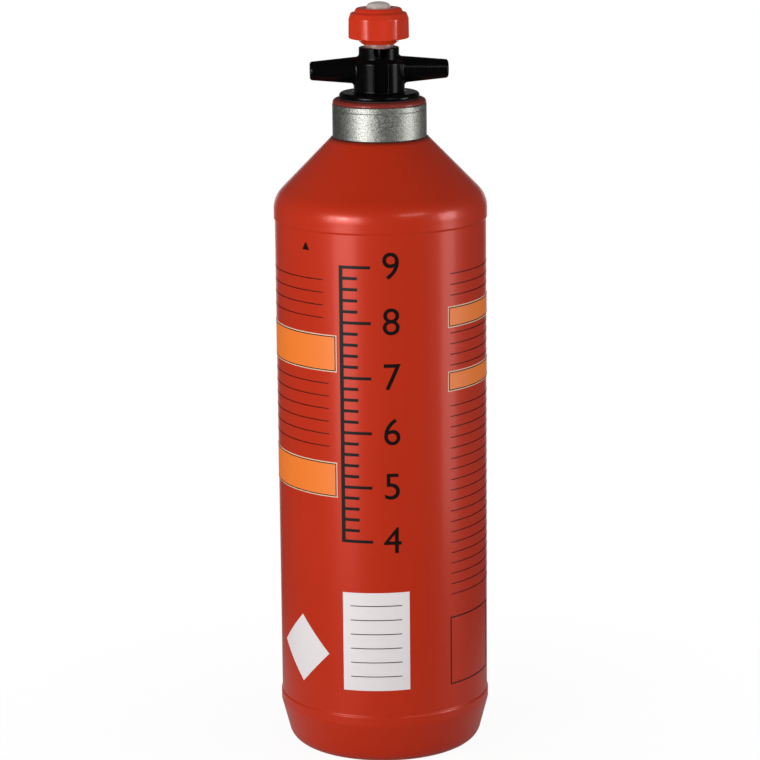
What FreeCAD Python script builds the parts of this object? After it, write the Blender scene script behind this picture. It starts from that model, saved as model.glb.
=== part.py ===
import FreeCAD
import Part
import math
import os

# A one litre camping fuel bottle with a press-to-pour valve in its screw stopper.
# Millimetres, +Z up. The origin is the middle of the foot plane and the front looks along -Y.
# At rest the stopper is screwed tight, the valve is shut and the knob is up, ready to be pressed.

# Clearances shared by mating pieces
running_gap = 0.3
press_gap = 0.02
seal_gap = 0.1
stop_gap = 0.1
overrun = 1.0

# Bottle
panel_radius = 40.3
band_rise = 0.4
band_step = 0.5
wall = 1.4
floor_wall = 1.8
heel_height = 16.2
heel_slope_deg = 14.6
heel_round = 5.8
heel_blend = 3.0
heel_band_height = 3.55
foot_width = 9.0
foot_round = 1.5
push_up_height = 6.0
push_up_radius = 18.0
push_up_round = 6.0
panel_height = 186.5
shoulder_band_height = 7.75
shoulder_slope_deg = 45.7
shoulder_round = 10.5
step_round = 0.6
neck_wall = 4.2
lip_height = 1.75
lip_setback = 0.15
lip_round = 1.4
mouth_round = 0.4

# Ring pressed over the neck
ring_wall = 0.92
ring_height = 12.95
ring_seat_land = 0.6
ring_round = 0.5
ring_line_drop = 2.3
ring_line_width = 0.36
ring_line_depth = 0.08

# Thread between stopper and neck
plug_radius = 11.0
thread_pitch = 4.0
thread_depth = 1.4
thread_gap = 0.35
thread_lead_in = 1.2

# Thread between knob and sleeve
sleeve_core_radius = 3.2
knob_pitch = 2.0
knob_thread_depth = 0.6
knob_thread_gap = 0.25
knob_lead_in = 0.3

# Ridge section of both threads
ridge_root_share = 0.4
ridge_crest_share = 0.16
ridge_bite_share = 0.25
flank_gap = 0.3

# Stopper
gasket_thickness = 0.4
gasket_inset = 0.3
gasket_gap = 0.5
flange_overhang = 2.55
flange_thickness = 2.0
flange_foot_round = 0.5
flange_head_round = 1.3
hub_radius = 9.7
hub_height = 12.05
hub_round = 0.7
hub_head_round = 1.15
tube_radius = 7.65
tube_height = 4.9
tube_round = 0.5
tube_foot_round = 0.85
notch_width = 5.1
notch_depth = 3.6
notch_round = 2.0
channel_width = 4.9
channel_depth = 2.4
channel_sill = 0.9
channel_foot_round = 0.8
channel_round = 0.5
deck_rise = 0.9
deck_thickness = 5.0
plug_reach = 2.5
plug_round = 0.6
wing_span = 52.5
wing_rise = 8.25
wing_root_height = 10.0
wing_tip_height = 6.95
wing_depth_share = 0.87
wing_round = 1.1
wing_blend = 1.1
wing_blend_limit_share = 0.55
wing_turn_deg = 4.5

# Valve
press_travel = 0.7
rod_radius = 1.5
rod_cover = 1.5
rod_tail = 0.9
throat_gap = 2.4
poppet_seal_thickness = 1.6
poppet_seal_land = 0.2
poppet_seal_squeeze = 0.5
poppet_thickness = 3.0
chamber_flow_gap = 1.1
clip_thickness = 0.6
clip_reach = 1.5
clip_bite = 0.4
clip_mouth = 1.6
cage_floor = 1.2
cage_height = 4.2
cage_wall = 0.9
cage_hole_radius = 0.8
cage_hole_land = 0.2
cage_hole_count = 6
spring_wire = 0.8
spring_radius = 4.4
spring_coils = 6

# Sleeve, knob and cap
lock_travel = 0.5
collar_depth = 0.3
sleeve_neck_radius = 2.6
nose_inset = 1.15
nose_wall = 0.45
nose_lip = 0.7
knob_seal_thickness = 0.9
knob_radius = 11.43
knob_taper = 0.08
knob_underside_rise = 2.1
knob_knee_radius = 8.0
knob_knee_rise = 1.3
knob_knee_round = 0.6
knob_wall_height = 7.5
knob_edge_round = 0.5
knob_step_round = 1.0
knob_shoulder_height = 2.1
knob_shoulder_radius = 10.5
knob_shoulder_round = 1.6
knob_crest_round = 1.0
knob_disc_radius = 9.35
knob_disc_taper = 0.85
knob_disc_height = 1.7
knob_disc_round = 1.2
knob_web = 2.7
flute_count = 6
flute_radius = 40.0
flute_rise = 0.2
ridge_round = 5.0
ridge_relief = 0.03
cap_radius = 4.6
cap_recess_gap = 0.4
cap_recess_depth = 1.2
cap_edge_height = 2.4
cap_edge_round = 1.8
cap_dome_height = 1.0
cap_socket_depth = 1.8


def tan_deg(angle):
    return math.tan(math.radians(angle))


# Radii that follow from the driving sizes
band_radius = panel_radius + band_rise
inner_radius = panel_radius - wall
heel_foot_radius = band_radius - heel_height * tan_deg(heel_slope_deg)
foot_inner_radius = heel_foot_radius - foot_width
mouth_radius = plug_radius + thread_depth + thread_gap
neck_radius = mouth_radius + neck_wall
ring_inner_radius = neck_radius + press_gap
ring_outer_radius = ring_inner_radius + ring_wall
ring_seat_radius = ring_outer_radius + ring_seat_land
lip_radius = ring_outer_radius - lip_setback
flange_radius = mouth_radius + flange_overhang
nose_radius = tube_radius - nose_inset
nose_bore_radius = nose_radius - nose_wall
collar_radius = nose_bore_radius - running_gap
hub_bore_radius = nose_bore_radius
throat_radius = rod_radius + throat_gap
poppet_radius = throat_radius + poppet_seal_thickness + 2 * poppet_seal_land
chamber_radius = poppet_radius + chamber_flow_gap
knob_bore_radius = sleeve_core_radius + knob_thread_depth + knob_thread_gap
cap_recess_radius = cap_radius + cap_recess_gap

# Heights that follow from the driving sizes, from the foot up
z_band_head = heel_height + heel_band_height
z_panel_foot = z_band_head + band_step
z_panel_head = z_panel_foot + panel_height
z_shoulder = z_panel_head + band_step + shoulder_band_height
z_ledge = z_shoulder + (band_radius - ring_seat_radius) * tan_deg(shoulder_slope_deg)
z_ring_head = z_ledge + ring_height
z_lip = z_ring_head + lip_height
z_flange_foot = z_lip + gasket_thickness
z_flange_head = z_flange_foot + flange_thickness
z_plug_foot = z_ledge - plug_reach
z_deck = z_flange_head + deck_rise
z_seat = z_deck - deck_thickness
z_hub_head = z_flange_head + hub_height
z_tube_head = z_hub_head + tube_height
z_wing = z_flange_head + wing_rise
z_poppet_head = z_seat - poppet_seal_squeeze
z_poppet_foot = z_poppet_head - poppet_thickness
z_clip_foot = z_poppet_foot - clip_thickness
z_cage_floor = z_plug_foot + cage_floor
z_nose = z_tube_head + lock_travel + press_travel + stop_gap
z_collar_foot = z_tube_head - collar_depth
z_collar_head = z_nose + nose_lip + knob_seal_thickness + 2 * seal_gap
z_knob_wall_foot = z_nose + knob_underside_rise
z_knob_wall_head = z_knob_wall_foot + knob_wall_height
z_knob_shoulder = z_knob_wall_head + knob_shoulder_height
z_knob_head = z_knob_shoulder + knob_disc_height
z_recess_floor = z_knob_head - cap_recess_depth
z_cap_foot = z_recess_floor + stop_gap
z_knob_bore_head = z_recess_floor - knob_web
z_shank_head = z_knob_bore_head - lock_travel - stop_gap
z_sleeve_head = z_cap_foot + cap_socket_depth


def outline(corners):
    """Closed wire in the XZ plane through (radius, height, round) corners, each round a tangent arc."""
    points = [FreeCAD.Vector(radius, 0, height) for radius, height, _ in corners]
    count = len(points)
    tangents = []
    for index, (_, _, round_radius) in enumerate(corners):
        before = (points[index - 1] - points[index]).normalize()
        after = (points[(index + 1) % count] - points[index]).normalize()
        tangents.append(round_radius / math.tan(before.getAngle(after) / 2))
    # Where two rounds share an edge that is too short for both, both shrink alike.
    fits = [1.0] * count
    for index in range(count):
        follower = (index + 1) % count
        needed = tangents[index] + tangents[follower]
        length = points[index].distanceToPoint(points[follower])
        if needed > length:
            fits[index] = min(fits[index], length / needed)
            fits[follower] = min(fits[follower], length / needed)
    edges = []
    ends = []
    for index, (_, _, round_radius) in enumerate(corners):
        corner = points[index]
        before = (points[index - 1] - corner).normalize()
        after = (points[(index + 1) % count] - corner).normalize()
        tangent = tangents[index] * fits[index]
        start = corner + before * tangent
        end = corner + after * tangent
        ends.append((start, end))
        if tangent > 0:
            half_angle = before.getAngle(after) / 2
            radius = round_radius * fits[index]
            inward = (before + after).normalize()
            middle = corner + inward * (radius / math.sin(half_angle) - radius)
            edges.append(Part.Arc(start, middle, end).toShape())
    for index in range(count):
        start = ends[index][1]
        end = ends[(index + 1) % count][0]
        if start.distanceToPoint(end) > Part.Precision.confusion():
            edges.append(Part.LineSegment(start, end).toShape())
    return Part.Wire(Part.__sortEdges__(edges))


def turned(corners):
    """Solid of revolution about Z from an outline of (radius, height, round) corners."""
    return Part.Face(outline(corners)).revolve(FreeCAD.Vector(), FreeCAD.Vector(0, 0, 1), 360)


def cylinder(radius, foot, head, x=0, y=0):
    return Part.makeCylinder(radius, head - foot, FreeCAD.Vector(x, y, foot))


def around(shape, count):
    """Copies of a shape, evenly turned about Z."""
    copies = []
    for index in range(count):
        copy = shape.copy()
        copy.rotate(FreeCAD.Vector(), FreeCAD.Vector(0, 0, 1), 360 * index / count)
        copies.append(copy)
    return copies


def ridge_width(pitch):
    return pitch * ridge_root_share


def ridge_step(pitch, depth, gap):
    """Height of an inside ridge above the outside ridge that bears on it across the flank gap."""
    flank = pitch * (ridge_root_share - ridge_crest_share) / 2
    return ridge_width(pitch) - flank * (1 + gap / depth) + flank_gap


def thread_ridge(root_radius, crest_radius, pitch, foot, head):
    """Right-hand trapezoid ridge whose middle winds from foot to head, its root sunk into the wall."""
    rise_per_depth = pitch * (ridge_root_share - ridge_crest_share) / 2 / (crest_radius - root_radius)
    sunk_radius = root_radius - (crest_radius - root_radius) * ridge_bite_share
    crest_half = pitch * ridge_crest_share / 2
    sunk_half = crest_half + rise_per_depth * (crest_radius - sunk_radius)
    section = outline([
        (sunk_radius, -sunk_half, 0),
        (crest_radius, -crest_half, 0),
        (crest_radius, crest_half, 0),
        (sunk_radius, sunk_half, 0),
    ])
    path = Part.Wire(Part.makeHelix(pitch, head - foot, root_radius).Edges)
    ridge = path.makePipeShell([section], True, True)
    ridge.translate(FreeCAD.Vector(0, 0, foot))
    return ridge


# Runs of the two threads: where the inside ridge starts and stops, and the drop to the outside ridge
neck_ridge_foot = z_ledge + ridge_width(thread_pitch)
neck_ridge_head = z_lip - thread_lead_in - ridge_width(thread_pitch) / 2
plug_ridge_drop = ridge_step(thread_pitch, thread_depth, thread_gap)
knob_ridge_foot = z_collar_head + lock_travel + stop_gap + knob_lead_in + ridge_width(knob_pitch)
knob_ridge_head = z_shank_head - ridge_width(knob_pitch) / 2
sleeve_ridge_drop = ridge_step(knob_pitch, knob_thread_depth, knob_thread_gap)


def bottle_body():
    """Blow-moulded bottle: foot ring, heel, two proud bands, label panel, cone and threaded neck.

    The lip is rolled out hot over the ring, which it holds down on the cone's ledge.
    """
    shoulder_turn = 90 - shoulder_slope_deg
    z_inner_shoulder = z_shoulder - wall * tan_deg(shoulder_turn / 2)
    shell = turned([
        (0, push_up_height, 0),
        (push_up_radius, push_up_height, push_up_round),
        (foot_inner_radius, 0, foot_round),
        (heel_foot_radius, 0, heel_round),
        (band_radius, heel_height, heel_blend),
        (band_radius, z_band_head, step_round),
        (panel_radius, z_panel_foot, step_round),
        (panel_radius, z_panel_head, step_round),
        (band_radius, z_panel_head + band_step, step_round),
        (band_radius, z_shoulder, shoulder_round),
        (ring_seat_radius, z_ledge, 0),
        (neck_radius, z_ledge, 0),
        (neck_radius, z_ring_head + press_gap, 0),
        (lip_radius, z_ring_head + press_gap, 0),
        (lip_radius, z_lip, lip_round),
        (mouth_radius, z_lip, mouth_round),
        (mouth_radius, z_ledge, 0),
        (inner_radius, z_inner_shoulder, shoulder_round - wall),
        (inner_radius, heel_height, heel_blend),
        (heel_foot_radius - wall, floor_wall, heel_round - wall),
        (foot_inner_radius, floor_wall, foot_round),
        (push_up_radius, push_up_height + floor_wall, push_up_round),
        (0, push_up_height + floor_wall, 0),
    ])
    ridge = thread_ridge(
        mouth_radius, mouth_radius - thread_depth, thread_pitch, neck_ridge_foot, neck_ridge_head)
    return shell.fuse(ridge)


def neck_ring():
    """Aluminium ring on the neck, with rounded outer edges and a fine line turned under its head."""
    z_line = z_ring_head - ring_line_drop
    return turned([
        (ring_inner_radius, z_ledge, 0),
        (ring_outer_radius, z_ledge, ring_round),
        (ring_outer_radius, z_line - ring_line_width / 2, 0),
        (ring_outer_radius - ring_line_depth, z_line, 0),
        (ring_outer_radius, z_line + ring_line_width / 2, 0),
        (ring_outer_radius, z_ring_head, ring_round),
        (ring_inner_radius, z_ring_head, 0),
    ])


def stopper_gasket():
    """Flat rubber ring between the neck's lip and the flange."""
    inner = plug_radius + gasket_gap
    outer = flange_radius - gasket_inset
    return turned([
        (inner, z_lip, 0),
        (outer, z_lip, 0),
        (outer, z_flange_foot, 0),
        (inner, z_flange_foot, 0),
    ])


def wing_pair():
    """Two tapered finger bars along X, oval in section, from the hub's axis out."""
    reach = wing_span / 2
    slope = (wing_root_height - wing_tip_height) / 2 / (reach - hub_radius)
    axis_half = wing_tip_height / 2 + slope * reach
    bar = turned([
        (0, 0, 0),
        (axis_half, 0, 0),
        (wing_tip_height / 2, reach, wing_round),
        (0, reach, 0),
    ])
    flatten = FreeCAD.Matrix()
    flatten.scale(1, wing_depth_share, 1)
    bars = []
    for side in (90, -90):
        wing = bar.copy()
        wing.rotate(FreeCAD.Vector(), FreeCAD.Vector(0, 1, 0), side)
        wing = wing.transformGeometry(flatten)
        wing.translate(FreeCAD.Vector(0, 0, z_wing))
        bars.append(wing)
    return bars[0].fuse(bars[1])


def front_prism(corners, near, far):
    """Prism of an XZ outline, between two distances in front of the axis."""
    face = Part.Face(outline(corners))
    face.translate(FreeCAD.Vector(0, -near, 0))
    return face.extrude(FreeCAD.Vector(0, near - far, 0))


def stopper_body():
    """Screw stopper: hollow threaded plug, flange, valve deck, and a winged hub that pours to the front."""
    blank = turned([
        (0, z_plug_foot, 0),
        (plug_radius, z_plug_foot, plug_round),
        (plug_radius, z_flange_foot, 0),
        (flange_radius, z_flange_foot, flange_foot_round),
        (flange_radius, z_flange_head, flange_head_round),
        (hub_radius, z_flange_head, hub_round),
        (hub_radius, z_hub_head, hub_head_round),
        (tube_radius, z_hub_head, tube_foot_round),
        (tube_radius, z_tube_head, tube_round),
        (0, z_tube_head, 0),
    ])
    body = blank.fuse(wing_pair())

    # Blend the wings into the hub and the tube.
    blend = min(wing_blend, (hub_radius - tube_radius) * wing_blend_limit_share)
    joints = []
    for edge in body.Edges:
        box = edge.BoundBox
        on_hub = max(-box.XMin, box.XMax) < hub_radius + press_gap
        on_side = z_deck < box.ZMin < z_tube_head - tube_round - press_gap
        if on_hub and on_side and edge.Curve.TypeId == "Part::GeomBSplineCurve":
            joints.append(edge)
    body = body.makeFillet(blend, joints)

    # A channel runs down the hub's front under the pouring notch.
    z_channel = z_flange_head + channel_sill
    channel_floor = hub_radius - channel_depth
    body = body.cut(front_prism([
        (-channel_width / 2, z_hub_head + overrun, 0),
        (-channel_width / 2, z_channel, channel_foot_round),
        (channel_width / 2, z_channel, channel_foot_round),
        (channel_width / 2, z_hub_head + overrun, 0),
    ], channel_floor, hub_radius + overrun))
    lips = []
    for edge in body.Edges:
        box = edge.BoundBox
        across = max(-box.XMin, box.XMax) < channel_width / 2 + press_gap
        outside = min(abs(box.YMin), abs(box.YMax)) > channel_floor + press_gap
        if across and outside and box.ZMin > z_channel - press_gap:
            lips.append(edge)
    body = body.makeFillet(channel_round, lips)

    z_notch = z_tube_head - notch_depth
    notch = front_prism([
        (-notch_width / 2, z_tube_head + overrun, 0),
        (-notch_width / 2, z_notch, notch_round),
        (notch_width / 2, z_notch, notch_round),
        (notch_width / 2, z_tube_head + overrun, 0),
    ], 0, tube_radius + overrun)
    passages = [
        cylinder(hub_bore_radius, z_deck, z_tube_head + overrun),
        cylinder(throat_radius, z_seat - overrun, z_deck + overrun),
        cylinder(chamber_radius, z_plug_foot - overrun, z_seat),
    ]
    body = body.cut([notch] + passages)
    body.rotate(FreeCAD.Vector(), FreeCAD.Vector(0, 0, 1), wing_turn_deg)
    ridge = thread_ridge(
        plug_radius, plug_radius + thread_depth, thread_pitch,
        neck_ridge_foot - plug_ridge_drop, neck_ridge_head - plug_ridge_drop)
    return body.fuse(ridge)


def valve_cage():
    """Perforated cup pressed into the plug's lower end, whose floor carries the spring."""
    outer = chamber_radius - press_gap
    cup = turned([
        (0, z_plug_foot, 0),
        (outer, z_plug_foot, 0),
        (outer, z_plug_foot + cage_height, 0),
        (outer - cage_wall, z_plug_foot + cage_height, 0),
        (outer - cage_wall, z_cage_floor, 0),
        (0, z_cage_floor, 0),
    ])
    hole_place = spring_radius - spring_wire / 2 - cage_hole_land - cage_hole_radius
    hole = cylinder(cage_hole_radius, z_plug_foot - overrun, z_cage_floor + overrun, hole_place)
    return cup.cut(around(hole, cage_hole_count))


def return_spring():
    """Compression spring between the cage's floor and the poppet."""
    foot = z_cage_floor + seal_gap + spring_wire / 2
    head = z_poppet_foot - seal_gap - spring_wire / 2
    pitch = (head - foot) / spring_coils
    print("least gap between spring coils: %.2f mm" % (pitch - spring_wire))
    path = Part.Wire(Part.makeHelix(pitch, head - foot, spring_radius).Edges)
    start = FreeCAD.Vector(spring_radius, 0, 0)
    along = FreeCAD.Vector(0, 2 * math.pi * spring_radius, pitch)
    section = Part.Wire(Part.makeCircle(spring_wire / 2, start, along))
    spring = path.makePipeShell([section], True, True)
    spring.translate(FreeCAD.Vector(0, 0, foot))
    return spring


def valve_rod():
    """Steel rod from the poppet up into the sleeve, with a groove for the clip."""
    z_foot = z_clip_foot - rod_tail
    groove_radius = rod_radius - clip_bite
    return turned([
        (0, z_foot, 0),
        (rod_radius, z_foot, 0),
        (rod_radius, z_clip_foot, 0),
        (groove_radius, z_clip_foot, 0),
        (groove_radius, z_poppet_foot, 0),
        (rod_radius, z_poppet_foot, 0),
        (rod_radius, z_shank_head - rod_cover, 0),
        (0, z_shank_head - rod_cover, 0),
    ])


def poppet_seal_middle():
    """Radius and height of the middle of the poppet's O-ring."""
    radius = throat_radius + poppet_seal_land + poppet_seal_thickness / 2
    return radius, z_seat - seal_gap - poppet_seal_thickness / 2


def valve_poppet():
    """Disc that shuts the throat from below, with a groove for its O-ring."""
    middle, height = poppet_seal_middle()
    half = poppet_seal_thickness / 2 + press_gap
    z_groove = height - half
    return turned([
        (rod_radius + press_gap, z_poppet_foot, 0),
        (poppet_radius, z_poppet_foot, 0),
        (poppet_radius, z_poppet_head, 0),
        (middle + half, z_poppet_head, 0),
        (middle + half, z_groove, 0),
        (middle - half, z_groove, 0),
        (middle - half, z_poppet_head, 0),
        (rod_radius + press_gap, z_poppet_head, 0),
    ])


def poppet_seal():
    middle, height = poppet_seal_middle()
    return Part.makeTorus(middle, poppet_seal_thickness / 2, FreeCAD.Vector(0, 0, height))


def poppet_clip():
    """Open steel clip in the rod's groove, under the poppet."""
    inner = rod_radius - clip_bite + press_gap
    ring = turned([
        (inner, z_clip_foot + press_gap, 0),
        (rod_radius + clip_reach, z_clip_foot + press_gap, 0),
        (rod_radius + clip_reach, z_poppet_foot - press_gap, 0),
        (inner, z_poppet_foot - press_gap, 0),
    ])
    reach = rod_radius + clip_reach + overrun
    mouth = Part.makeBox(
        reach, clip_mouth, clip_thickness + 2 * overrun,
        FreeCAD.Vector(0, -clip_mouth / 2, z_clip_foot - overrun))
    return ring.cut(mouth)


def stem_sleeve():
    """White sleeve on the rod: collar in the hub's head, threaded shank in the knob, neck for the cap."""
    bore_radius = rod_radius + press_gap
    z_bore_head = z_shank_head - rod_cover + press_gap
    core = turned([
        (bore_radius, z_collar_foot, 0),
        (collar_radius, z_collar_foot, 0),
        (collar_radius, z_collar_head, 0),
        (sleeve_core_radius, z_collar_head, 0),
        (sleeve_core_radius, z_shank_head, 0),
        (sleeve_neck_radius, z_shank_head, 0),
        (sleeve_neck_radius, z_sleeve_head, 0),
        (0, z_sleeve_head, 0),
        (0, z_bore_head, 0),
        (bore_radius, z_bore_head, 0),
    ])
    ridge = thread_ridge(
        sleeve_core_radius, sleeve_core_radius + knob_thread_depth, knob_pitch,
        knob_ridge_foot - sleeve_ridge_drop, knob_ridge_head - sleeve_ridge_drop)
    return core.fuse(ridge)


def stem_cap():
    """White button with a domed head, pressed on the sleeve's neck, which keeps the knob on."""
    socket_radius = sleeve_neck_radius + press_gap
    z_edge = z_cap_foot + cap_edge_height
    body = cylinder(cap_radius, z_cap_foot, z_edge)
    dome_radius = (cap_radius ** 2 + cap_dome_height ** 2) / (2 * cap_dome_height)
    ball = Part.makeSphere(dome_radius, FreeCAD.Vector(0, 0, z_edge + cap_dome_height - dome_radius))
    dome = ball.common(cylinder(cap_radius, z_edge, z_edge + cap_dome_height + overrun))
    socket = cylinder(socket_radius, z_cap_foot - overrun, z_sleeve_head + press_gap)
    button = body.fuse(dome).removeSplitter()
    rim = []
    for edge in button.Edges:
        box = edge.BoundBox
        if box.ZLength < press_gap and abs(box.ZMax - z_edge) < press_gap:
            rim.append(edge)
    return button.makeFillet(cap_edge_round, rim).cut(socket)


def knob_seal_middle():
    """Radius and height of the middle of the knob's O-ring."""
    radius = collar_radius + seal_gap + knob_seal_thickness / 2
    return radius, z_nose + nose_lip + seal_gap + knob_seal_thickness / 2


def knob_seal():
    middle, height = knob_seal_middle()
    return Part.makeTorus(middle, knob_seal_thickness / 2, FreeCAD.Vector(0, 0, height))


def knob_flutes():
    """Ring that cuts the knob's shallow flutes and rounds the ridges between them."""
    half_turn = math.pi / flute_count
    ridge_place = knob_radius + ridge_relief - ridge_round
    centre_gap = flute_radius + ridge_round
    flute_place = ridge_place * math.cos(half_turn) + math.sqrt(
        centre_gap ** 2 - (ridge_place * math.sin(half_turn)) ** 2)

    def spot(place, turn):
        return FreeCAD.Vector(place * math.sin(turn), -place * math.cos(turn), z_nose - overrun)

    edges = []
    for index in range(flute_count):
        flute = spot(flute_place, 2 * half_turn * index)
        ridge_before = spot(ridge_place, 2 * half_turn * index - half_turn)
        ridge_after = spot(ridge_place, 2 * half_turn * index + half_turn)
        flute_after = spot(flute_place, 2 * half_turn * (index + 1))
        start = ridge_before + (flute - ridge_before) * (ridge_round / centre_gap)
        end = ridge_after + (flute - ridge_after) * (ridge_round / centre_gap)
        follow = ridge_after + (flute_after - ridge_after) * (ridge_round / centre_gap)
        floor = spot(flute_place - flute_radius, 2 * half_turn * index)
        crest = spot(ridge_place + ridge_round, 2 * half_turn * index + half_turn)
        edges.append(Part.Arc(start, floor, end).toShape())
        edges.append(Part.Arc(end, crest, follow).toShape())
    z_head = z_knob_wall_head + flute_rise
    core = Part.Face(Part.Wire(edges)).extrude(FreeCAD.Vector(0, 0, z_head - z_nose + overrun))
    return cylinder(knob_radius + overrun, z_nose - overrun, z_head).cut(core)


def control_knob():
    """Knob with six closed flutes under a round shoulder, and a nose that runs into the hub's head."""
    seal_middle, seal_height = knob_seal_middle()
    groove_half = knob_seal_thickness / 2 + seal_gap
    blank = turned([
        (0, z_nose, 0),
        (nose_radius, z_nose, 0),
        (knob_knee_radius, z_nose + knob_knee_rise, knob_knee_round),
        (knob_radius, z_knob_wall_foot, knob_edge_round),
        (knob_radius - knob_taper, z_knob_wall_head, knob_shoulder_round),
        (knob_shoulder_radius, z_knob_shoulder, knob_crest_round),
        (knob_disc_radius, z_knob_shoulder, knob_step_round),
        (knob_disc_radius - knob_disc_taper, z_knob_head, knob_disc_round),
        (0, z_knob_head, 0),
    ])
    z_collar_stop = z_collar_head + lock_travel + stop_gap
    passages = [
        cylinder(nose_bore_radius, z_nose - overrun, z_collar_stop),
        cylinder(seal_middle + groove_half, seal_height - groove_half, seal_height + groove_half),
        cylinder(knob_bore_radius, z_nose - overrun, z_knob_bore_head),
        cylinder(sleeve_neck_radius + running_gap, z_nose - overrun, z_knob_head + overrun),
        cylinder(cap_recess_radius, z_recess_floor, z_knob_head + overrun),
    ]
    knob = blank.cut(knob_flutes()).cut(passages)
    ridge = thread_ridge(
        knob_bore_radius, knob_bore_radius - knob_thread_depth, knob_pitch,
        knob_ridge_foot, knob_ridge_head)
    return knob.fuse(ridge)


os.makedirs("parts", exist_ok=True)
for make in (
        bottle_body, neck_ring, stopper_body, stopper_gasket, valve_cage, return_spring, valve_rod,
        valve_poppet, poppet_seal, poppet_clip, stem_sleeve, stem_cap, knob_seal, control_knob):
    shape = make()
    print("%s: %d solid, valid %s, %.0f mm3" % (
        make.__name__, len(shape.Solids), shape.isValid(), shape.Volume))
    shape.exportStep("parts/%s.step" % make.__name__)
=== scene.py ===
import math

import bmesh
import bpy
from mathutils import Matrix, Vector


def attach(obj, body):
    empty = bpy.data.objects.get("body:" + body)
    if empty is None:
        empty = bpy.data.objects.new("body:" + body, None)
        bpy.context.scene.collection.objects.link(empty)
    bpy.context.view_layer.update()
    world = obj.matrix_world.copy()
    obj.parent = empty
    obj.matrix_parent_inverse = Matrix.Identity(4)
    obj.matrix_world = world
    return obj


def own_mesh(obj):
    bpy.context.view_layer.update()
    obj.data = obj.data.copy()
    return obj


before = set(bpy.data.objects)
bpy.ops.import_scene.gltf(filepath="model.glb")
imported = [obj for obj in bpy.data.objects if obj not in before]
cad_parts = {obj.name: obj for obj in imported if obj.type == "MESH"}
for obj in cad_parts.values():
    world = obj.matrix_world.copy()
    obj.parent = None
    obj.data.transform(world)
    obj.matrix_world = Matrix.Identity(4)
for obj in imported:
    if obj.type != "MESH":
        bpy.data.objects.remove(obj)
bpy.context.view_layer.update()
MM = 0.001

# Bottle body. One blow-moulded shell of red high-density polyethylene from a blasted mould, so the wall is
# satin with a fine pebble, and its wide gloss lies under a thinner, tighter shine. The lip above the ring
# is painted darker red-brown as shade under the flange, and is rougher there. A dark red band painted just
# under the ring stands for the ring's contact shadow.
RED_DEEP = "#BC2A08"
RED_WARM = "#C42D0A"
# Painted shadow: a dark red band just under the ring, where the ring shades the cone, and the heights it
# fades over.
RING_SHADOW_RED = "#7E1E0A"
RING_SHADOW_HEIGHTS = (236.5 * MM, 237.7 * MM)
# Painted shade: the lip above the ring is darker red-brown where the flange shades it.
LIP_FLANGE_SHADE = "#7C241A"
LIP_FLANGE_SHADE_HEIGHTS = (249.2 * MM, 250.6 * MM)
LIP_DULLNESS = 0.25        # added to the roughness where the lip's painted shade is full
WALL_PATCH = 45 * MM       # how far apart thick and thin wall lie
WALL_DETAIL = 2.0
SKIN_PEBBLE = 0.55 * MM    # blasted grain is nearer 0.2 mm: drawn coarser, so that it shows
SKIN_DETAIL = 2.0
SKIN_ROUGHNESS = (0.30, 0.38)
SKIN_BUMP = 0.6
SKIN_RELIEF = 0.010 * MM
SKIN_IOR = 1.54
SKIN_SPECULAR = 0.6
SKIN_SHINE_TINT = "#FF8C84"
SKIN_COAT = 0.25
SKIN_COAT_ROUGHNESS = 0.16


def linear(code):
    """An sRGB hex colour as linear red, green, blue and alpha."""
    parts = [int(code[i:i + 2], 16) / 255 for i in (1, 3, 5)]
    return [p / 12.92 if p <= 0.04045 else ((p + 0.055) / 1.055) ** 2.4 for p in parts] + [1.0]


def add(tree, kind, settings, links):
    """Adds a node with its own settings or socket values, and the outputs that feed its sockets."""
    node = tree.nodes.new(kind)
    for key, value in settings.items():
        if isinstance(key, int) or key in node.inputs:
            node.inputs[key].default_value = value
        else:
            setattr(node, key, value)
    for key, source in links.items():
        tree.links.new(source, node.inputs[key])
    return node


def new_finish(name):
    """A material with its shader, and the place on the object that its patterns follow."""
    finish = bpy.data.materials.new(name)
    finish.use_nodes = True
    tree = finish.node_tree
    tree.nodes.clear()
    shader = add(tree, "ShaderNodeBsdfPrincipled", {}, {})
    add(tree, "ShaderNodeOutputMaterial", {}, {"Surface": shader.outputs["BSDF"]})
    place = add(tree, "ShaderNodeTexCoord", {}, {}).outputs["Object"]
    return finish, tree, shader, place


def dress(node, finish):
    """Puts a finish on a CAD node."""
    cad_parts[node].material_slots[0].material = finish


polyethylene, tree, shader, place = new_finish("polyethylene_blasted_mould")
wall = add(tree, "ShaderNodeTexNoise", {"Scale": 1 / WALL_PATCH, "Detail": WALL_DETAIL}, {"Vector": place})
red = add(tree, "ShaderNodeMix", {"data_type": "RGBA", 6: linear(RED_DEEP), 7: linear(RED_WARM)},
          {0: wall.outputs["Fac"]})
axes = add(tree, "ShaderNodeSeparateXYZ", {}, {"Vector": place})
# Painted shadow under the ring: the red darkens towards the ring's foot.
ring_shadow = add(tree, "ShaderNodeMapRange", {"From Min": RING_SHADOW_HEIGHTS[0], "From Max": RING_SHADOW_HEIGHTS[1]},
            {"Value": axes.outputs["Z"]})
ring_shadowed = add(tree, "ShaderNodeMix", {"data_type": "RGBA", 7: linear(RING_SHADOW_RED)},
            {0: ring_shadow.outputs["Result"], 6: red.outputs[2]})
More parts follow.
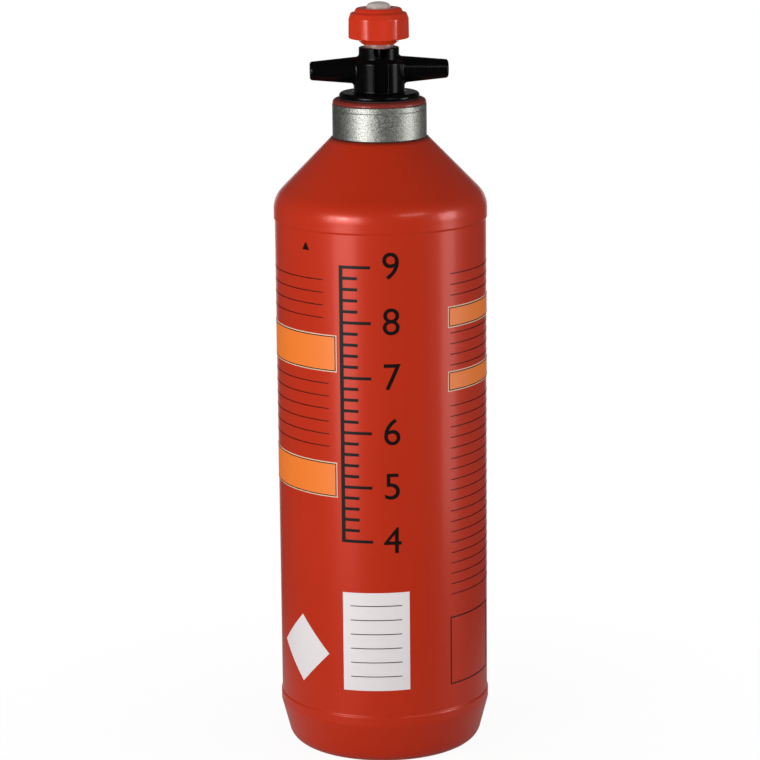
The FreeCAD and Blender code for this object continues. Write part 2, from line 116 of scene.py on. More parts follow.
# Painted shade on the lip under the flange: darker red-brown from just below the ring's head upwards.
flange_shade = add(tree, "ShaderNodeMapRange",
            {"From Min": LIP_FLANGE_SHADE_HEIGHTS[0], "From Max": LIP_FLANGE_SHADE_HEIGHTS[1]},
            {"Value": axes.outputs["Z"]})
flange_shaded = add(tree, "ShaderNodeMix", {"data_type": "RGBA", 7: linear(LIP_FLANGE_SHADE)},
              {0: flange_shade.outputs["Result"], 6: ring_shadowed.outputs[2]})
tree.links.new(flange_shaded.outputs[2], shader.inputs["Base Color"])
pebble = add(tree, "ShaderNodeTexNoise", {"Scale": 1 / SKIN_PEBBLE, "Detail": SKIN_DETAIL},
             {"Vector": place})
satin = add(tree, "ShaderNodeMapRange", {"To Min": SKIN_ROUGHNESS[0], "To Max": SKIN_ROUGHNESS[1]},
            {"Value": pebble.outputs["Fac"]})
dulled = add(tree, "ShaderNodeMath", {"operation": "MULTIPLY_ADD", 1: LIP_DULLNESS},
             {0: flange_shade.outputs["Result"], 2: satin.outputs["Result"]})
tree.links.new(dulled.outputs[0], shader.inputs["Roughness"])
bump = add(tree, "ShaderNodeBump", {"Strength": SKIN_BUMP, "Distance": SKIN_RELIEF},
           {"Height": pebble.outputs["Fac"]})
tree.links.new(bump.outputs["Normal"], shader.inputs["Normal"])
shader.inputs["IOR"].default_value = SKIN_IOR
shader.inputs["Specular IOR Level"].default_value = SKIN_SPECULAR
shader.inputs["Specular Tint"].default_value = linear(SKIN_SHINE_TINT)
shader.inputs["Coat Weight"].default_value = SKIN_COAT
shader.inputs["Coat Roughness"].default_value = SKIN_COAT_ROUGHNESS
dress("bottle_body", polyethylene)

# Neck ring. A short length of aluminium tube with a fine line turned under its head, pressed over the neck
# so that the mouth can't spread. It is tumbled, not polished: satin grey with fine bright grains.
ALUMINIUM_GREY = "#868884"
ALUMINIUM_PALE = "#B9BAB3"
TUMBLE_GRAIN = 0.65 * MM   # tumbling marks are near 0.2 mm: drawn coarser, so that they show
TUMBLE_DETAIL = 3.0
TUMBLE_FINE_SHARE = 0.7
TUMBLE_COLOUR_SPAN = (0.35, 0.65)
TUMBLE_ROUGHNESS_SPAN = (0.3, 0.7)
TUMBLE_ROUGHNESS = (0.36, 0.54)
TUMBLE_BUMP = 1.0
TUMBLE_RELIEF = 0.08 * MM

aluminium, tree, shader, place = new_finish("aluminium_tumbled")
grain = add(tree, "ShaderNodeTexNoise",
            {"Scale": 1 / TUMBLE_GRAIN, "Detail": TUMBLE_DETAIL, "Roughness": TUMBLE_FINE_SHARE},
            {"Vector": place})
speckle = add(tree, "ShaderNodeMapRange",
              {"From Min": TUMBLE_COLOUR_SPAN[0], "From Max": TUMBLE_COLOUR_SPAN[1]},
              {"Value": grain.outputs["Fac"]})
grey = add(tree, "ShaderNodeMix",
           {"data_type": "RGBA", 6: linear(ALUMINIUM_GREY), 7: linear(ALUMINIUM_PALE)},
           {0: speckle.outputs["Result"]})
tree.links.new(grey.outputs[2], shader.inputs["Base Color"])
dull = add(tree, "ShaderNodeMapRange",
           {"From Min": TUMBLE_ROUGHNESS_SPAN[0], "From Max": TUMBLE_ROUGHNESS_SPAN[1],
            "To Min": TUMBLE_ROUGHNESS[0], "To Max": TUMBLE_ROUGHNESS[1]},
           {"Value": grain.outputs["Fac"]})
tree.links.new(dull.outputs["Result"], shader.inputs["Roughness"])
bump = add(tree, "ShaderNodeBump", {"Strength": TUMBLE_BUMP, "Distance": TUMBLE_RELIEF},
           {"Height": grain.outputs["Fac"]})
tree.links.new(bump.outputs["Normal"], shader.inputs["Normal"])
shader.inputs["Metallic"].default_value = 1.0
dress("neck_ring", aluminium)

# Scale on the front. Black screen ink on the panel: a spine, a long mark at each tenth of a litre and
# shorter ones between, so that the fill can be read against the light. The figures are tenths of a litre.
PANEL_RADIUS = 40.3 * MM
INK_FILM = 0.05 * MM
INK_STRIP = 1.0 * MM       # arc between two cuts, short enough to follow the wall
INK_SEAM = INK_FILM / 50   # corners nearer than this are one
INK_BLACK = "#0C0706"
INK_THIN = "#160D0B"
INK_MOTTLE = 1.2 * MM
INK_DETAIL = 3.0
INK_ROUGHNESS = (0.38, 0.5)
INK_SPECULAR = 0.2
SCALE_FIGURES = "456789"
SCALE_FOOT = 89.5 * MM
SCALE_TENTH = 21.03 * MM
SCALE_STEPS = 5
SCALE_LEFT = -14.6 * MM
LONG_MARK = 10.6 * MM
SHORT_MARK = 5.6 * MM
MARK_STROKE = 1.15 * MM
SPINE_STROKE = 1.5 * MM
FIGURE_SIZE = 14.5 * MM
FIGURE_PLACE = 3.6 * MM


def mottled(name, patch, detail, colours, roughness, relief=None):
    """A finish with patches of two close colours, which differ in gloss too, and may ripple the surface."""
    finish, tree, shader, place = new_finish(name)
    noise = add(tree, "ShaderNodeTexNoise", {"Scale": 1 / patch, "Detail": detail}, {"Vector": place})
    tone = add(tree, "ShaderNodeMix", {"data_type": "RGBA", 6: linear(colours[0]), 7: linear(colours[1])},
               {0: noise.outputs["Fac"]})
    tree.links.new(tone.outputs[2], shader.inputs["Base Color"])
    gloss = add(tree, "ShaderNodeMapRange", {"To Min": roughness[0], "To Max": roughness[1]},
                {"Value": noise.outputs["Fac"]})
    tree.links.new(gloss.outputs["Result"], shader.inputs["Roughness"])
    if relief:
        bump = add(tree, "ShaderNodeBump", {"Strength": relief[0], "Distance": relief[1]},
                   {"Height": noise.outputs["Fac"]})
        tree.links.new(bump.outputs["Normal"], shader.inputs["Normal"])
    return finish, shader


ink, shader = mottled("screen_ink_black", INK_MOTTLE, INK_DETAIL, (INK_BLACK, INK_THIN), INK_ROUGHNESS)
shader.inputs["Specular IOR Level"].default_value = INK_SPECULAR

# The marks' tree bends one long and one short mark to the wall, and repeats them up it.
marks = bpy.data.node_groups.new("ruled_marks", "GeometryNodeTree")
marks.interface.new_socket(name="Geometry", in_out="OUTPUT", socket_type="NodeSocketGeometry")
MARK_INPUTS = {}
for title, kind in (("Marks", "Int"), ("Long Every", "Int"), ("Spacing", "Float"), ("Lowest", "Float"),
                    ("Left", "Float"), ("Long", "Float"), ("Short", "Float"), ("Stroke", "Float"),
                    ("Lean", "Float"), ("Radius", "Float"), ("Film", "Float"), ("Ink", "Material")):
    socket = marks.interface.new_socket(name=title, in_out="INPUT", socket_type="NodeSocket" + kind)
    MARK_INPUTS[title] = socket.identifier
given = add(marks, "NodeGroupInput", {}, {}).outputs
number = add(marks, "GeometryNodeInputIndex", {}, {})
over = add(marks, "ShaderNodeMath", {"operation": "MODULO"}, {0: number.outputs[0], 1: given["Long Every"]})
is_short = add(marks, "ShaderNodeMath", {"operation": "GREATER_THAN", 1: 0.5}, {0: over.outputs[0]})
is_long = add(marks, "ShaderNodeMath", {"operation": "LESS_THAN", 1: 0.5}, {0: over.outputs[0]})
lowest = add(marks, "ShaderNodeCombineXYZ", {}, {"Z": given["Lowest"]})
climb = add(marks, "ShaderNodeCombineXYZ", {}, {"Z": given["Spacing"]})
places = add(marks, "GeometryNodeMeshLine", {"mode": "OFFSET"},
             {"Count": given["Marks"], "Start Location": lowest.outputs[0], "Offset": climb.outputs[0]})
ladder = add(marks, "GeometryNodeJoinGeometry", {}, {})
for length, chosen in ((given["Long"], is_long), (given["Short"], is_short)):
    cuts = add(marks, "ShaderNodeMath", {"operation": "DIVIDE", 1: INK_STRIP}, {0: length})
    strip = add(marks, "GeometryNodeMeshGrid", {"Vertices Y": 2},
                {"Size X": length, "Size Y": given["Stroke"], "Vertices X": cuts.outputs[0]})
    point = add(marks, "GeometryNodeInputPosition", {}, {})
    along = add(marks, "ShaderNodeSeparateXYZ", {}, {0: point.outputs[0]})
    middle = add(marks, "ShaderNodeMath", {"operation": "MULTIPLY_ADD", 1: 0.5},
                 {0: length, 2: given["Left"]})
    across = add(marks, "ShaderNodeMath", {"operation": "ADD"},
                 {0: along.outputs["X"], 1: middle.outputs[0]})
    angle = add(marks, "ShaderNodeMath", {"operation": "DIVIDE"},
                {0: across.outputs[0], 1: given["Radius"]})
    sine = add(marks, "ShaderNodeMath", {"operation": "SINE"}, {0: angle.outputs[0]})
    cosine = add(marks, "ShaderNodeMath", {"operation": "COSINE"}, {0: angle.outputs[0]})
    side = add(marks, "ShaderNodeMath", {"operation": "MULTIPLY"},
               {0: sine.outputs[0], 1: given["Radius"]})
    depth = add(marks, "ShaderNodeMath", {"operation": "MULTIPLY"},
                {0: cosine.outputs[0], 1: given["Radius"]})
    front = add(marks, "ShaderNodeMath", {"operation": "MULTIPLY", 1: -1.0}, {0: depth.outputs[0]})
    rise = add(marks, "ShaderNodeMath", {"operation": "MULTIPLY_ADD"},
               {0: across.outputs[0], 1: given["Lean"], 2: along.outputs["Y"]})
    bent = add(marks, "ShaderNodeCombineXYZ", {},
               {"X": side.outputs[0], "Y": front.outputs[0], "Z": rise.outputs[0]})
    under = add(marks, "GeometryNodeSetPosition", {},
                {"Geometry": strip.outputs["Mesh"], "Position": bent.outputs[0]})
    upper = add(marks, "GeometryNodeExtrudeMesh", {"Individual": False},
                {"Mesh": under.outputs[0], "Offset Scale": given["Film"]})
    turned = add(marks, "GeometryNodeFlipFaces", {}, {"Mesh": under.outputs[0]})
    both = add(marks, "GeometryNodeJoinGeometry", {}, {"Geometry": upper.outputs["Mesh"]})
    marks.links.new(turned.outputs[0], both.inputs["Geometry"])
    closed = add(marks, "GeometryNodeMergeByDistance", {"Distance": INK_SEAM},
                 {"Geometry": both.outputs[0]})
    copies = add(marks, "GeometryNodeInstanceOnPoints", {},
                 {"Points": places.outputs[0], "Selection": chosen.outputs[0],
                  "Instance": closed.outputs[0]})
    marks.links.new(copies.outputs[0], ladder.inputs["Geometry"])
real = add(marks, "GeometryNodeRealizeInstances", {}, {"Geometry": ladder.outputs[0]})
inked = add(marks, "GeometryNodeSetMaterial", {}, {"Geometry": real.outputs[0], "Material": given["Ink"]})
add(marks, "NodeGroupOutput", {}, {"Geometry": inked.outputs[0]})


def ruled(name, **sizes):
    """Marks or lines from the tree, as a plain mesh that rides on the bottle."""
    piece = bpy.data.objects.new(name, bpy.data.meshes.new(name))
    bpy.context.scene.collection.objects.link(piece)
    maker = piece.modifiers.new("ruled_marks", "NODES")
    maker.node_group = marks
    values = {"Long Every": 1, "Short": SHORT_MARK, "Lean": 0.0, "Radius": PANEL_RADIUS,
              "Film": INK_FILM, "Ink": ink}
    values.update({key.replace("_", " "): value for key, value in sizes.items()})
    for key, value in values.items():
        maker[MARK_INPUTS[key]] = value
    made = bpy.data.meshes.new_from_object(piece.evaluated_get(bpy.context.evaluated_depsgraph_get()))
    piece.modifiers.clear()
    piece.data = made
    made.name = name
    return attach(piece, "bottle")


def printed(name, flat, finish, lift=0.0, film=INK_FILM):
    """Lays a flat shape, across and up in metres, round the panel as a thin closed film on the bottle."""
    reach = [vert.co.x for vert in flat.verts]
    for step in range(math.ceil(min(reach) / INK_STRIP), math.floor(max(reach) / INK_STRIP) + 1):
        bmesh.ops.bisect_plane(flat, geom=flat.verts[:] + flat.edges[:] + flat.faces[:],
                               plane_co=(step * INK_STRIP, 0, 0), plane_no=(1, 0, 0))
    raised = bmesh.ops.extrude_face_region(flat, geom=flat.faces[:])["geom"]
    outer = {item for item in raised if isinstance(item, bmesh.types.BMVert)}
    for vert in flat.verts:
        radius = PANEL_RADIUS + lift + (film if vert in outer else 0.0)
        angle = vert.co.x / PANEL_RADIUS
        vert.co = (radius * math.sin(angle), -radius * math.cos(angle), vert.co.y)
    bmesh.ops.recalc_face_normals(flat, faces=flat.faces[:])
    made = bpy.data.meshes.new(name)
    flat.to_mesh(made)
    flat.free()
    made.materials.append(finish)
    piece = bpy.data.objects.new(name, made)
    bpy.context.scene.collection.objects.link(piece)
    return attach(piece, "bottle")


def flat_shape(corners, holes=()):
    """A flat shape from its corners, in order, less the same number of corners of a hole."""
    flat = bmesh.new()
    outside = [flat.verts.new((x, y, 0)) for x, y in corners]
    if not holes:
        flat.faces.new(outside)
        return flat
    inside = [flat.verts.new((x, y, 0)) for x, y in holes]
    for index in range(len(outside)):
        after = (index + 1) % len(outside)
        flat.faces.new((outside[index], outside[after], inside[after], inside[index]))
    return flat


def oblong(left, right, foot, head, inset=0.0):
    """The corners of an oblong, drawn in by inset on every side."""
    left, right, foot, head = left + inset, right - inset, foot + inset, head - inset
    return [(left, foot), (right, foot), (right, head), (left, head)]


scale_tenths = len(SCALE_FIGURES) - 1
scale_head = SCALE_FOOT + SCALE_TENTH * scale_tenths
ruled("scale_marks", Marks=SCALE_STEPS * scale_tenths + 1, Long_Every=SCALE_STEPS,
      Spacing=SCALE_TENTH / SCALE_STEPS, Lowest=SCALE_FOOT, Left=SCALE_LEFT,
      Long=LONG_MARK, Short=SHORT_MARK, Stroke=MARK_STROKE)
spine = oblong(SCALE_LEFT - SPINE_STROKE, SCALE_LEFT,
               SCALE_FOOT - MARK_STROKE / 2, scale_head + MARK_STROKE / 2)
printed("scale_spine", flat_shape(spine), ink)
figures = bmesh.new()
for row, figure in enumerate(SCALE_FIGURES):
    letter = bpy.data.curves.new("figure", "FONT")
    letter.body = figure
    letter.size = FIGURE_SIZE
    letter.align_x = "CENTER"
    letter.align_y = "CENTER"
    pattern = bpy.data.objects.new("figure", letter)
    drawn = bpy.data.meshes.new_from_object(pattern)
    drawn.transform(Matrix.Translation((FIGURE_PLACE, SCALE_FOOT + SCALE_TENTH * row, 0)))
    figures.from_mesh(drawn)
    bpy.data.meshes.remove(drawn)
    bpy.data.objects.remove(pattern)
    bpy.data.curves.remove(letter)
printed("scale_figures", figures, ink)

# Fill mark. A small black triangle in the same ink, high on the panel: above it the bottle has to keep
# some air, because fuel swells when it warms.
FILL_MARK_PLACE = -30.9 * MM
FILL_MARK_FOOT = 199.7 * MM
FILL_MARK_WIDTH = 3.6 * MM
FILL_MARK_HEIGHT = 0.87 * FILL_MARK_WIDTH

printed("fill_mark", flat_shape([(FILL_MARK_PLACE - FILL_MARK_WIDTH / 2, FILL_MARK_FOOT),
                                 (FILL_MARK_PLACE + FILL_MARK_WIDTH / 2, FILL_MARK_FOOT),
                                 (FILL_MARK_PLACE, FILL_MARK_FOOT + FILL_MARK_HEIGHT)]), ink)

# Header bars left and right. Orange screen ink over a pale underprint that shows as a rim, framed by a
# thin black line and left blank.
HEADER_ORANGE = "#FA8018"
HEADER_DEEP = "#F47912"
HEADER_EDGE = "#EDCDB3"
HEADER_EDGE_WORN = "#E6C4A8"
HEADER_ROUGHNESS = (0.4, 0.52)
HEADER_RIM = 0.4 * MM
HEADER_LINE = 0.35 * MM
HEADERS = {"header_left_upper": (-77 * MM, -17.4 * MM, 154.4 * MM, 168.5 * MM),
           "header_left_lower": (-77 * MM, -17.7 * MM, 106.0 * MM, 119.6 * MM),
           "header_right_upper": (26.8 * MM, 84 * MM, 169.9 * MM, 178.0 * MM),
           "header_right_lower": (26.7 * MM, 84 * MM, 145.4 * MM, 153.2 * MM)}

orange_ink, _ = mottled("screen_ink_orange", INK_MOTTLE, INK_DETAIL, (HEADER_ORANGE, HEADER_DEEP),
                        HEADER_ROUGHNESS)
pale_ink, _ = mottled("screen_ink_pale", INK_MOTTLE, INK_DETAIL, (HEADER_EDGE, HEADER_EDGE_WORN),
                      HEADER_ROUGHNESS)
for name, box in HEADERS.items():
    rim = oblong(*box, HEADER_RIM)
    field = oblong(*box, HEADER_RIM + HEADER_LINE)
    printed(name + "_underprint", flat_shape(oblong(*box)), pale_ink)
    printed(name, flat_shape(rim), orange_ink, lift=INK_FILM)
    printed(name + "_line", flat_shape(rim, field), ink, lift=2 * INK_FILM)

# Note rows. Thin black rules round the header bars, for the owner to write on with a marker. Each group
# gives its number of rules, their spacing, the lowest one's height, the left end and the length, in mm.
ROW_STROKE = 0.32 * MM
NOTE_ROWS = {"rows_left_upper": (4, 4.8, 174.8, -75, 52),
             "rows_left_lower": (6, 4.85, 125.6, -75, 54),
             "rows_right_upper": (3, 4.1, 182.2, 28, 54),
             "rows_right_middle": (4, 4.1, 155.5, 28, 54),
             "rows_right_lower": (19, 4.1, 66.0, 28, 54)}

for name, (rules, spacing, foot, left, length) in NOTE_ROWS.items():
    ruled(name, Marks=rules, Spacing=spacing * MM, Lowest=foot * MM, Left=left * MM, Long=length * MM,
          Stroke=ROW_STROKE)

# Blank frame at the lower right. A thin box in the same black ink, ruled for the owner's own notes and
# left empty.
FRAME_BOX = (27.4 * MM, 56.0 * MM, 30.0 * MM, 57.0 * MM)
FRAME_STROKE = 0.5 * MM

printed("blank_frame", flat_shape(oblong(*FRAME_BOX), oblong(*FRAME_BOX, FRAME_STROKE)), ink)

# Stickers. A plain white write-on label, put on by hand and a degree off true, and a blank diamond beside
# it. Both are cut from white vinyl film, smooth and a little waxy, with a faint paper-like mottle.
VINYL_WHITE = "#EFE9EA"
VINYL_WARM = "#E9E2E3"
VINYL_FILM = 0.1 * MM
VINYL_MOTTLE = 3.0 * MM
VINYL_DETAIL = 4.0
VINYL_ROUGHNESS = (0.36, 0.46)
LABEL_LEFT = -16.0 * MM
LABEL_RIGHT = 9.75 * MM
LABEL_FOOT = 30.4 * MM
LABEL_HEAD = 69.2 * MM
LABEL_LEAN = 0.018
LABEL_RULES = 6
LABEL_RULE_SPACING = 5.6 * MM
LABEL_RULE_INSET = 3.0 * MM
DIAMOND_ACROSS = -35.6 * MM
DIAMOND_UP = 43.8 * MM
DIAMOND_REACH = 13.4 * MM

vinyl, _ = mottled("vinyl_white", VINYL_MOTTLE, VINYL_DETAIL, (VINYL_WHITE, VINYL_WARM), VINYL_ROUGHNESS)
label = flat_shape(oblong(LABEL_LEFT, LABEL_RIGHT, LABEL_FOOT, LABEL_HEAD))
for vert in label.verts:
    vert.co.y += LABEL_LEAN * (vert.co.x - LABEL_LEFT)
printed("write_on_label", label, vinyl, film=VINYL_FILM)
ruled("label_rules", Marks=LABEL_RULES, Spacing=LABEL_RULE_SPACING,
      Lowest=LABEL_FOOT + LABEL_RULE_SPACING + LABEL_LEAN * -LABEL_LEFT, Left=LABEL_LEFT + LABEL_RULE_INSET,
      Long=LABEL_RIGHT - LABEL_LEFT - 2 * LABEL_RULE_INSET, Stroke=ROW_STROKE, Lean=LABEL_LEAN,
      Radius=PANEL_RADIUS + VINYL_FILM)
diamond = flat_shape([(DIAMOND_ACROSS - DIAMOND_REACH, DIAMOND_UP),
                      (DIAMOND_ACROSS, DIAMOND_UP - DIAMOND_REACH),
                      (DIAMOND_ACROSS + DIAMOND_REACH, DIAMOND_UP),
                      (DIAMOND_ACROSS, DIAMOND_UP + DIAMOND_REACH)])
printed("diamond_sticker", diamond, vinyl, film=VINYL_FILM)

# Stopper gasket, with the seals of poppet and knob. The gasket is a flat ring punched from black nitrile
# rubber sheet and squeezed between lip and flange. Rubber is matt with a dusty bloom in patches.
RUBBER_BLACK = "#0D0B0B"
RUBBER_BLOOM = "#161414"
BLOOM_PATCH = 2.5 * MM
BLOOM_DETAIL = 4.0
RUBBER_ROUGHNESS = (0.62, 0.8)

rubber, _ = mottled("nitrile_rubber", BLOOM_PATCH, BLOOM_DETAIL, (RUBBER_BLACK, RUBBER_BLOOM),
                    RUBBER_ROUGHNESS)
dress("stopper_gasket", rubber)
dress("poppet_seal", rubber)
dress("knob_seal", rubber)

# Stopper body and valve cage. Plug, flange, hub and wings are one moulding of black nylon from a polished
# mould. It is deep black with tight highlights, and faint flow ripples soften them.
NYLON_BLACK = "#040404"
NYLON_FLOW = "#080808"
NYLON_ROUGHNESS = (0.14, 0.24)
NYLON_IOR = 1.53
NYLON_SPECULAR = 0.10
FLOW_RIPPLE = 3.0 * MM
FLOW_DETAIL = 2.0
FLOW_RELIEF = (0.25, 0.02 * MM)    # strength and height

nylon, shader = mottled("nylon_black_polished_mould", FLOW_RIPPLE, FLOW_DETAIL, (NYLON_BLACK, NYLON_FLOW),
                        NYLON_ROUGHNESS, FLOW_RELIEF)
shader.inputs["IOR"].default_value = NYLON_IOR
shader.inputs["Specular IOR Level"].default_value = NYLON_SPECULAR
dress("stopper_body", nylon)
dress("valve_cage", nylon)

# Return spring, valve rod and poppet clip. Stainless wire and bar, drawn bright, so the die's scratches
# run along the length and the metal is only a little soft in its shine. The spring stands on the cage's
# floor and shortens as the poppet is pressed down on it.
STEEL_GREY = "#A9A8A5"
STEEL_PALE = "#C3C2BF"
STEEL_ROUGHNESS = (0.18, 0.34)
DRAW_SCRATCH = 0.12 * MM
DRAW_DETAIL = 2.0
DRAW_STRETCH = (1.0, 1.0, 0.08)    # a scratch is a dozen times as long as it is wide

steel, tree, shader, place = new_finish("stainless_drawn_bright")
drawn_out = add(tree, "ShaderNodeMapping", {"Scale": DRAW_STRETCH}, {"Vector": place})
scratch = add(tree, "ShaderNodeTexNoise", {"Scale": 1 / DRAW_SCRATCH, "Detail": DRAW_DETAIL},
              {"Vector": drawn_out.outputs["Vector"]})
bright = add(tree, "ShaderNodeMix", {"data_type": "RGBA", 6: linear(STEEL_GREY), 7: linear(STEEL_PALE)},
             {0: scratch.outputs["Fac"]})
tree.links.new(bright.outputs[2], shader.inputs["Base Color"])
sheen = add(tree, "ShaderNodeMapRange", {"To Min": STEEL_ROUGHNESS[0], "To Max": STEEL_ROUGHNESS[1]},
            {"Value": scratch.outputs["Fac"]})
tree.links.new(sheen.outputs["Result"], shader.inputs["Roughness"])
shader.inputs["Metallic"].default_value = 1.0
dress("return_spring", steel)
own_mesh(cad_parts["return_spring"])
dress("valve_rod", steel)
dress("poppet_clip", steel)

# Stem sleeve, cap and poppet. Turned or moulded in natural acetal, a milky white that light enters and
# leaves a millimetre or two on. Below the knob it is painted a darker pink-brown, as the knob's shade and
# its red reflection.
ACETAL_MILK = "#D8CBC5"
ACETAL_COOL = "#CFC5C0"
# Painted shade and red reflection below the knob, and the heights where it fades in.
ACETAL_KNOB_SHADE = "#A67F79"
ACETAL_KNOB_SHADE_HEIGHTS = (275.0 * MM, 273.6 * MM)
ACETAL_CLOUD = 4.0 * MM
ACETAL_DETAIL = 2.0
ACETAL_ROUGHNESS = (0.28, 0.4)
ACETAL_IOR = 1.48
ACETAL_SCATTER = 0.5
ACETAL_SCATTER_COLOURS = (1.0, 0.9, 0.8)
ACETAL_DEPTH = 1.2 * MM

acetal, tree, shader, place = new_finish("acetal_natural")
cloud = add(tree, "ShaderNodeTexNoise", {"Scale": 1 / ACETAL_CLOUD, "Detail": ACETAL_DETAIL},
            {"Vector": place})
milk = add(tree, "ShaderNodeMix", {"data_type": "RGBA", 6: linear(ACETAL_MILK), 7: linear(ACETAL_COOL)},
           {0: cloud.outputs["Fac"]})
axes = add(tree, "ShaderNodeSeparateXYZ", {}, {"Vector": place})
# Painted shade and the knob's red reflection: pink-brown below the knob.
knob_shade = add(tree, "ShaderNodeMapRange",
             {"From Min": ACETAL_KNOB_SHADE_HEIGHTS[0], "From Max": ACETAL_KNOB_SHADE_HEIGHTS[1]},
             {"Value": axes.outputs["Z"]})
knob_shaded = add(tree, "ShaderNodeMix", {"data_type": "RGBA", 7: linear(ACETAL_KNOB_SHADE)},
             {0: knob_shade.outputs["Result"], 6: milk.outputs[2]})
tree.links.new(knob_shaded.outputs[2], shader.inputs["Base Color"])
wax = add(tree, "ShaderNodeMapRange", {"To Min": ACETAL_ROUGHNESS[0], "To Max": ACETAL_ROUGHNESS[1]},
          {"Value": cloud.outputs["Fac"]})
tree.links.new(wax.outputs["Result"], shader.inputs["Roughness"])
shader.inputs["IOR"].default_value = ACETAL_IOR
shader.inputs["Subsurface Weight"].default_value = ACETAL_SCATTER
shader.inputs["Subsurface Radius"].default_value = ACETAL_SCATTER_COLOURS
shader.inputs["Subsurface Scale"].default_value = ACETAL_DEPTH
dress("stem_sleeve", acetal)
dress("stem_cap", acetal)
dress("valve_poppet", acetal)

# Control knob. One moulding of orange-red nylon with six flutes for the fingertips, screwed on the sleeve.
# The mould was polished, so the colour is warmer and the shine tighter than the bottle's.
KNOB_RED = "#D22E0C"
KNOB_WARM = "#DA3510"
KNOB_ROUGHNESS = (0.16, 0.26)

knob_nylon, shader = mottled("nylon_orange_polished_mould", FLOW_RIPPLE, FLOW_DETAIL, (KNOB_RED, KNOB_WARM),
                             KNOB_ROUGHNESS, FLOW_RELIEF)
shader.inputs["IOR"].default_value = NYLON_IOR
dress("control_knob", knob_nylon)

# Floor. A small pale sweep of matt paper under the bottle, which fades out into the white round it.
# For the camera, and a little for what metal mirrors, it is lit up to white and keeps a soft shadow.
FLOOR_PALE = "#C0C0C0"
FLOOR_ROUGHNESS = 0.9
FLOOR_SPECULAR = 0.1
FLOOR_RADIUS = 0.22
FLOOR_SIDES = 96
FLOOR_FADE = 0.06
FLOOR_LIT_SHARE = 0.80
FLOOR_GLOW = 1.16
FLOOR_MIRRORED_SHARE = 0.08
WHITE = (1, 1, 1, 1)

floor_mesh = bpy.data.meshes.new("floor")
disc = bmesh.new()
bmesh.ops.create_circle(disc, cap_ends=True, segments=FLOOR_SIDES, radius=FLOOR_RADIUS)
disc.to_mesh(floor_mesh)
disc.free()
floor = bpy.data.objects.new("floor", floor_mesh)
bpy.context.scene.collection.objects.link(floor)
paper, tree, shader, place = new_finish("paper_sweep")
shader.inputs["Base Color"].default_value = linear(FLOOR_PALE)
shader.inputs["Roughness"].default_value = FLOOR_ROUGHNESS
shader.inputs["Specular IOR Level"].default_value = FLOOR_SPECULAR
ray = add(tree, "ShaderNodeLightPath", {}, {})
mirrored = add(tree, "ShaderNodeMath", {"operation": "MAXIMUM"},
               {0: ray.outputs["Is Glossy Ray"], 1: ray.outputs["Is Transmission Ray"]})
mirrored_share = add(tree, "ShaderNodeMath", {"operation": "MULTIPLY", 1: FLOOR_MIRRORED_SHARE},
                     {0: mirrored.outputs[0]})
share = add(tree, "ShaderNodeMath", {"operation": "MULTIPLY_ADD", 1: FLOOR_LIT_SHARE},
            {0: ray.outputs["Is Camera Ray"], 2: mirrored_share.outputs[0]})
glow = add(tree, "ShaderNodeEmission", {"Color": WHITE, "Strength": FLOOR_GLOW}, {})
lit = add(tree, "ShaderNodeMixShader", {}, {0: share.outputs[0], 1: shader.outputs[0], 2: glow.outputs[0]})
reach = add(tree, "ShaderNodeVectorMath", {"operation": "LENGTH"}, {0: place})
fade = add(tree, "ShaderNodeMapRange",
           {"interpolation_type": "SMOOTHSTEP", "From Min": FLOOR_FADE, "From Max": FLOOR_RADIUS},
           {"Value": reach.outputs["Value"]})
clear = add(tree, "ShaderNodeBsdfTransparent", {}, {})
faded = add(tree, "ShaderNodeMixShader", {},
            {0: fade.outputs["Result"], 1: lit.outputs[0], 2: clear.outputs[0]})
output = next(node for node in tree.nodes if node.type == "OUTPUT_MATERIAL")
tree.links.new(faded.outputs[0], output.inputs["Surface"])
floor_mesh.materials.append(paper)

# Studio. The camera sees white all round, and so does metal where it mirrors the paper behind the bottle.
# An even fill and two soft keys light the colours. Two low softboxes, two lamps above them, the left one
# with a brighter core, and a dim card over the camera are seen in gloss and metal only, as the shine.
FILL_LEVEL = 0.67
FILL_OVERHEAD = 0.38
ROOM_LEVEL = 0.07
SHEET_BEHIND = (0.90, 0.96)    # how straight back a ray points where the paper starts and is full
SHEET_HEAD = (0.08, 0.0)       # how far up it points where the paper ends and is still full
LAMP_AIM = Vector((0, 0, 0.17))
# A lamp's turn from the front in degrees, its distance and height, its face's two sides, and its power.
KEY_LAMPS = {"key_left": (-40, 0.95, 0.20, 0.50, 0.50, 4.1),
             "key_right": (80, 0.95, 0.20, 0.50, 0.50, 1.1)}
SHINE_LAMPS = {"softbox_left": (-39, 0.95, 0.00, 0.41, 0.26, 1.05),
               "softbox_right": (76.5, 0.95, 0.02, 0.30, 0.34, 1.00),
               "lamp_left": (-40, 0.95, 0.36, 0.64, 0.30, 5.2),
               "bulb_left": (-40, 0.95, 0.38, 0.16, 0.14, 1.9),
               "lamp_right": (76, 0.95, 0.33, 0.34, 0.30, 2.7),
               "card_front": (36, 1.00, 0.68, 0.52, 0.14, 1.5)}

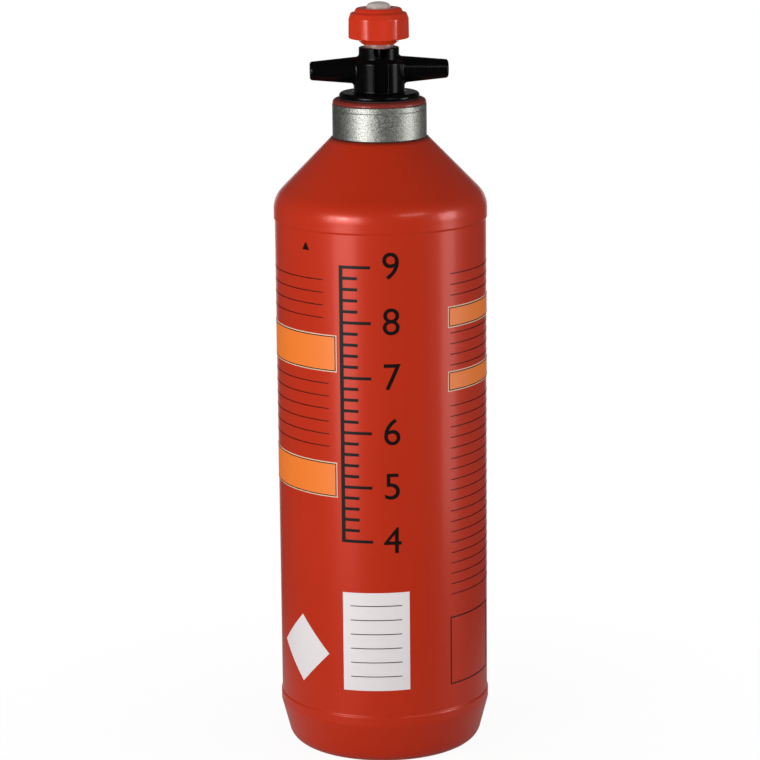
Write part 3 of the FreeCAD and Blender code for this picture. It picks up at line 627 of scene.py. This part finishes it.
world = bpy.data.worlds.new("studio")
bpy.context.scene.world = world
world.use_nodes = True
world.cycles.sampling_method = "NONE"
tree = world.node_tree
tree.nodes.clear()
ray = add(tree, "ShaderNodeLightPath", {}, {})
mirrored = add(tree, "ShaderNodeMath", {"operation": "MAXIMUM"},
               {0: ray.outputs["Is Glossy Ray"], 1: ray.outputs["Is Transmission Ray"]})
direction = add(tree, "ShaderNodeTexCoord", {}, {})
axes = add(tree, "ShaderNodeSeparateXYZ", {}, {"Vector": direction.outputs["Generated"]})
behind = add(tree, "ShaderNodeMapRange",
             {"interpolation_type": "SMOOTHSTEP", "From Min": SHEET_BEHIND[0], "From Max": SHEET_BEHIND[1]},
             {"Value": axes.outputs["Y"]})
below = add(tree, "ShaderNodeMapRange",
            {"interpolation_type": "SMOOTHSTEP", "From Min": SHEET_HEAD[0], "From Max": SHEET_HEAD[1]},
            {"Value": axes.outputs["Z"]})
sheet = add(tree, "ShaderNodeMath", {"operation": "MULTIPLY"},
            {0: behind.outputs["Result"], 1: below.outputs["Result"]})
backdrop = add(tree, "ShaderNodeMath", {"operation": "MULTIPLY"},
               {0: mirrored.outputs[0], 1: sheet.outputs[0]})
seen_white = add(tree, "ShaderNodeMath", {"operation": "MAXIMUM"},
                 {0: ray.outputs["Is Camera Ray"], 1: backdrop.outputs[0]})
fill = add(tree, "ShaderNodeMapRange", {"To Min": FILL_LEVEL, "To Max": FILL_OVERHEAD},
           {"Value": axes.outputs["Z"]})
room = add(tree, "ShaderNodeMix", {"data_type": "FLOAT", 3: ROOM_LEVEL},
           {0: mirrored.outputs[0], 2: fill.outputs["Result"]})
level = add(tree, "ShaderNodeMix", {"data_type": "FLOAT", 3: 1.0},
            {0: seen_white.outputs[0], 2: room.outputs["Result"]})
surround = add(tree, "ShaderNodeBackground", {"Color": WHITE}, {"Strength": level.outputs[0]})
add(tree, "ShaderNodeOutputWorld", {}, {"Surface": surround.outputs["Background"]})

for name, (turn, distance, height, width, depth, power) in {**KEY_LAMPS, **SHINE_LAMPS}.items():
    light = bpy.data.lights.new(name, "AREA")
    light.shape = "RECTANGLE"
    light.size = width
    light.size_y = depth
    light.energy = power
    bearing = math.radians(turn)
    lamp = bpy.data.objects.new(name, light)
    lamp.location = (distance * math.sin(bearing), -distance * math.cos(bearing), height)
    lamp.rotation_euler = (LAMP_AIM - lamp.location).to_track_quat("-Z", "Y").to_euler()
    lamp.visible_camera = False
    lamp.visible_diffuse = name in KEY_LAMPS
    lamp.visible_glossy = name in SHINE_LAMPS
    bpy.context.scene.collection.objects.link(lamp)
bpy.context.scene.view_settings.view_transform = "Standard"

# Camera. It stands 1.15 m in front and 0.4 m up, looks down at the bottle and leans by half a degree.
# The place and the angles come from the bottle's outline.
CAMERA_PLACE = (0, -1.14662, 0.40311)
CAMERA_PITCH = math.radians(12.778)
CAMERA_YAW = math.radians(-0.039)
CAMERA_ROLL = math.radians(-0.557)
CAMERA_LENS = 144.30
CAMERA_SENSOR = 36.0
CAMERA_NEAR = 0.05
CAMERA_FAR = 50.0

camera_data = bpy.data.cameras.new("camera")
camera_data.lens = CAMERA_LENS
camera_data.sensor_width = CAMERA_SENSOR
camera_data.clip_start = CAMERA_NEAR
camera_data.clip_end = CAMERA_FAR
camera = bpy.data.objects.new("camera", camera_data)
bpy.context.scene.collection.objects.link(camera)
ahead = Vector((math.sin(CAMERA_YAW) * math.cos(CAMERA_PITCH),
                math.cos(CAMERA_YAW) * math.cos(CAMERA_PITCH),
                -math.sin(CAMERA_PITCH)))
level_right = Vector((math.cos(CAMERA_YAW), -math.sin(CAMERA_YAW), 0))
level_up = level_right.cross(ahead)
right = math.cos(CAMERA_ROLL) * level_right + math.sin(CAMERA_ROLL) * level_up
up = -math.sin(CAMERA_ROLL) * level_right + math.cos(CAMERA_ROLL) * level_up
facing = Matrix((right, up, -ahead)).transposed()
camera.matrix_world = Matrix.Translation(CAMERA_PLACE) @ facing.to_4x4()
bpy.context.scene.camera = camera
